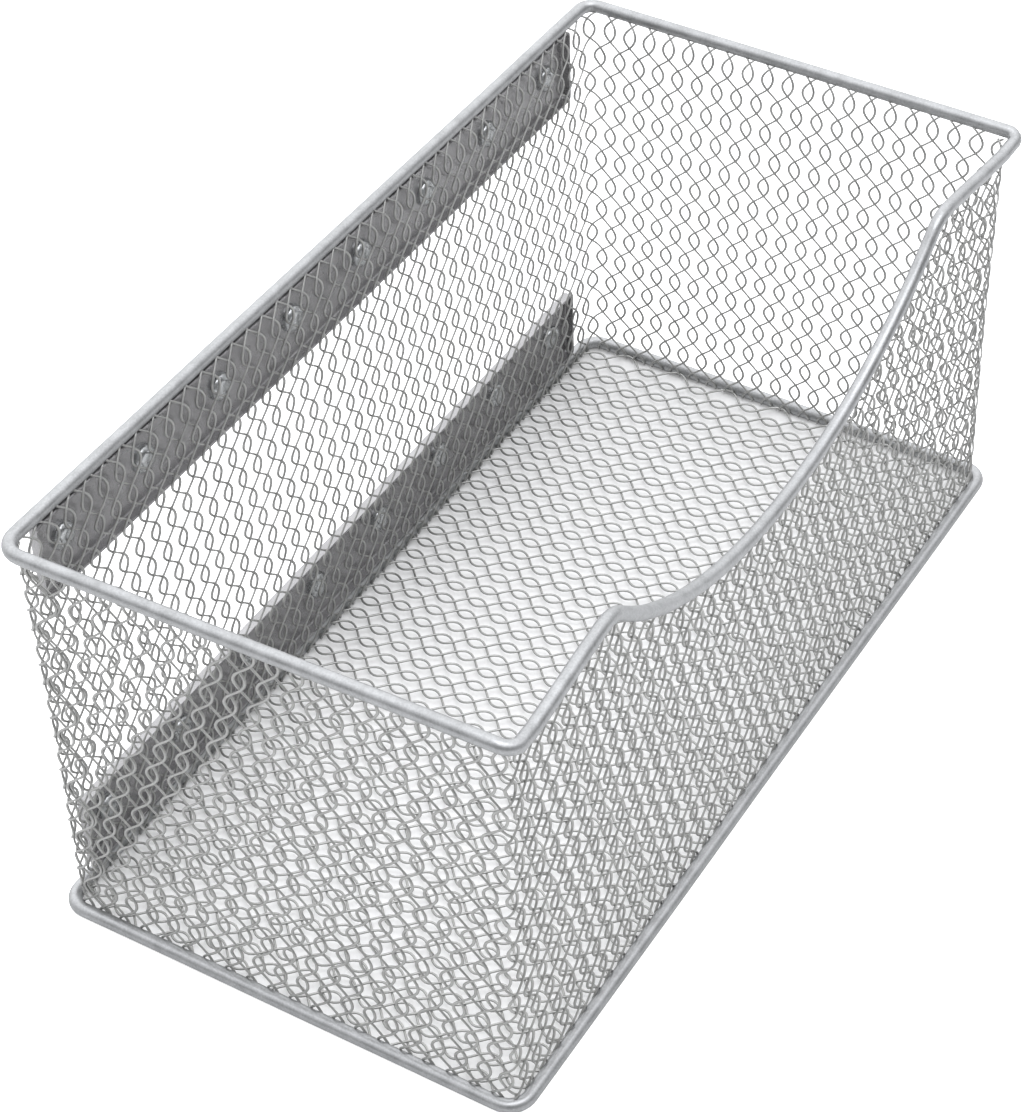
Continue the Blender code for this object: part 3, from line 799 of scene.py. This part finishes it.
class BASKET_OT_stage(bpy.types.Operator):
    """Set up the pale floor, the soft light and the camera"""
    bl_idname = "basket.stage"
    bl_label = "Studio"

    def execute(self, context):
        studio = context.scene.basket_studio
        self.floor(studio, context.scene.basket_sizes)
        self.sky(context.scene, studio)
        self.lamp(studio)
        self.camera(context.scene, studio)
        context.scene.view_settings.view_transform = "Standard"
        return {"FINISHED"}

    def past_foot(self, tree, sizes):
        """How far a point of the floor lies outside a rectangle round the origin, as large as the one through
        the centres of the foot rim's bends, whose middle is 1 mm further forward."""
        half = [side - sizes.foot_corner for side in foot_halves(sizes)]
        spot = add(tree, "ShaderNodeTexCoord").outputs["Object"]
        folded = add(tree, "ShaderNodeVectorMath", {0: spot}, operation="ABSOLUTE").outputs[0]
        apart = add(tree, "ShaderNodeVectorMath", {0: folded, 1: (*half, 0)}, operation="SUBTRACT").outputs[0]
        beyond = add(tree, "ShaderNodeVectorMath", {0: apart, 1: (0, 0, 0)}, operation="MAXIMUM").outputs[0]
        return add(tree, "ShaderNodeVectorMath", {0: beyond}, operation="LENGTH").outputs["Value"]

    def floor(self, studio, sizes):
        """A wide pale sheet under the basket. Inside the foot rim it shows a little paler than it is lit, and
        outside it shows white, as in the photograph, where the ground round the basket is cut away."""
        half, fade = 4.0, 1.5 * MM
        corners = np.array([(-half, -half, 0), (half, -half, 0), (half, half, 0), (-half, half, 0)])
        mesh = write_mesh("studio_floor", corners, [np.array([[0, 1, 2, 3]])], smooth=False)
        ground = bpy.data.objects.new("studio_floor", mesh)
        material, tree = blank_material("white_studio_paper")
        matt = add(tree, "ShaderNodeBsdfDiffuse", {"Color": linear("#E6E6E6")})
        rays = add(tree, "ShaderNodeLightPath")
        edge = sizes.foot_corner
        paler = add(tree, "ShaderNodeMapRange", {"Value": self.past_foot(tree, sizes), "From Min": edge,
                                                 "From Max": edge + fade, "To Min": studio.floor_lift,
                                                 "To Max": 1.0}, interpolation_type="SMOOTHSTEP")
        seen = add(tree, "ShaderNodeMath", {0: rays.outputs["Is Camera Ray"], 1: paler.outputs[0]},
                   operation="MULTIPLY")
        lift = add(tree, "ShaderNodeEmission", {"Strength": seen.outputs[0]})
        both = add(tree, "ShaderNodeAddShader", {0: matt.outputs[0], 1: lift.outputs[0]})
        add(tree, "ShaderNodeOutputMaterial", {"Surface": both.outputs[0]})
        mesh.materials.append(material)
        bpy.context.scene.collection.objects.link(ground)

    def sky(self, scene, studio):
        """A pale dome: bright above and towards the back, dim low on the front's side, and plain white where
        the camera looks at it."""
        world = bpy.data.worlds.new("studio_dome")
        scene.world = world
        world.use_nodes = True
        tree = world.node_tree
        tree.nodes.clear()
        brightest = (0.42, 0.5, 0.757)
        heading = add(tree, "ShaderNodeTexCoord").outputs["Generated"]
        nearness = add(tree, "ShaderNodeVectorMath", {0: heading, 1: brightest}, operation="DOT_PRODUCT")
        level = add(tree, "ShaderNodeMapRange", {"Value": nearness.outputs["Value"], "From Min": -0.2,
                                                 "From Max": 1.0, "To Min": 0.25, "To Max": 1.6},
                    interpolation_type="SMOOTHSTEP")
        power = add(tree, "ShaderNodeMath", {0: level.outputs[0], 1: studio.sky}, operation="MULTIPLY")
        dome = add(tree, "ShaderNodeBackground", {"Color": linear("#F7F8FA"), "Strength": power.outputs[0]})
        plain = add(tree, "ShaderNodeBackground", {"Color": (1, 1, 1, 1), "Strength": 1.0})
        seen = add(tree, "ShaderNodeLightPath").outputs["Is Camera Ray"]
        both = add(tree, "ShaderNodeMixShader", {0: seen, 1: dome.outputs[0], 2: plain.outputs[0]})
        add(tree, "ShaderNodeOutputWorld", {"Surface": both.outputs[0]})

    def lamp(self, studio):
        """One wide soft lamp above and a little in front of the basket, turned towards the origin."""
        data = bpy.data.lights.new("overhead_softbox", "AREA")
        data.shape = "DISK"
        data.size = 1.3
        data.energy = studio.overhead
        data.color = linear("#FBFCFF")[:3]
        lamp = bpy.data.objects.new("overhead_softbox", data)
        spot = np.array([-0.15, -0.35, 1.5])
        lamp.location = spot
        x, y, z = -spot
        lamp.rotation_euler = math.atan2(math.hypot(x, y), -z), 0, math.atan2(y, x) - QUARTER
        bpy.context.scene.collection.objects.link(lamp)

    def camera(self, scene, studio):
        """The photograph's viewpoint: heading and tilt give the forward axis, roll turns the frame."""
        az, el, roll = studio.azimuth, studio.elevation, studio.roll
        forward = np.array([math.cos(el) * math.cos(az), math.cos(el) * math.sin(az), -math.sin(el)])
        right = unit(np.cross(forward, UP))
        down = np.cross(forward, right)
        turned = math.cos(roll) * right + math.sin(roll) * down
        fall = -math.sin(roll) * right + math.cos(roll) * down
        data = bpy.data.cameras.new("studio_camera")
        data.lens = studio.lens
        data.sensor_width = 36
        data.shift_x = studio.shift_x
        data.shift_y = 0.0041
        data.clip_start, data.clip_end = 0.01, 20
        camera = bpy.data.objects.new("studio_camera", data)
        axes = np.eye(4)
        axes[:3, 0], axes[:3, 1], axes[:3, 2] = turned, -fall, -forward
        axes[:3, 3] = studio.position
        camera.matrix_world = Matrix(axes.tolist())
        scene.collection.objects.link(camera)
        scene.camera = camera


class BASKET_PT_panel(bpy.types.Panel):
    """Buttons for the basket's pieces, and its sizes and colours"""
    bl_idname = "BASKET_PT_panel"
    bl_label = "Wire Mesh Basket"
    bl_space_type = "VIEW_3D"
    bl_region_type = "UI"
    bl_category = "Basket"

    def draw(self, context):
        for operator in OPERATORS:
            self.layout.operator(operator.bl_idname)
        for group in (getattr(context.scene, name) for name in GROUPS):
            box = self.layout.box()
            for name in group.__annotations__:
                box.prop(group, name)


OPERATORS = (BASKET_OT_rims, BASKET_OT_walls, BASKET_OT_floor, BASKET_OT_rails, BASKET_OT_rivets,
             BASKET_OT_magnets, BASKET_OT_stage)
GROUPS = {"basket_sizes": BasketSizes, "basket_finish": BasketFinish, "basket_studio": BasketStudio}


def register():
    """Make the settings, the operators and the panel known to Blender."""
    for cls in (*GROUPS.values(), *OPERATORS, BASKET_PT_panel):
        bpy.utils.register_class(cls)
    for name, cls in GROUPS.items():
        setattr(bpy.types.Scene, name, bpy.props.PointerProperty(type=cls))


def unregister():
    """Take them away again."""
    for name in GROUPS:
        delattr(bpy.types.Scene, name)
    for cls in reversed((*GROUPS.values(), *OPERATORS, BASKET_PT_panel)):
        bpy.utils.unregister_class(cls)


def main():
    """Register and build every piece."""
    register()
    for operator in OPERATORS:
        group, name = operator.bl_idname.split(".")
        getattr(getattr(bpy.ops, group), name)()


if __name__ == "__main__":
    main()
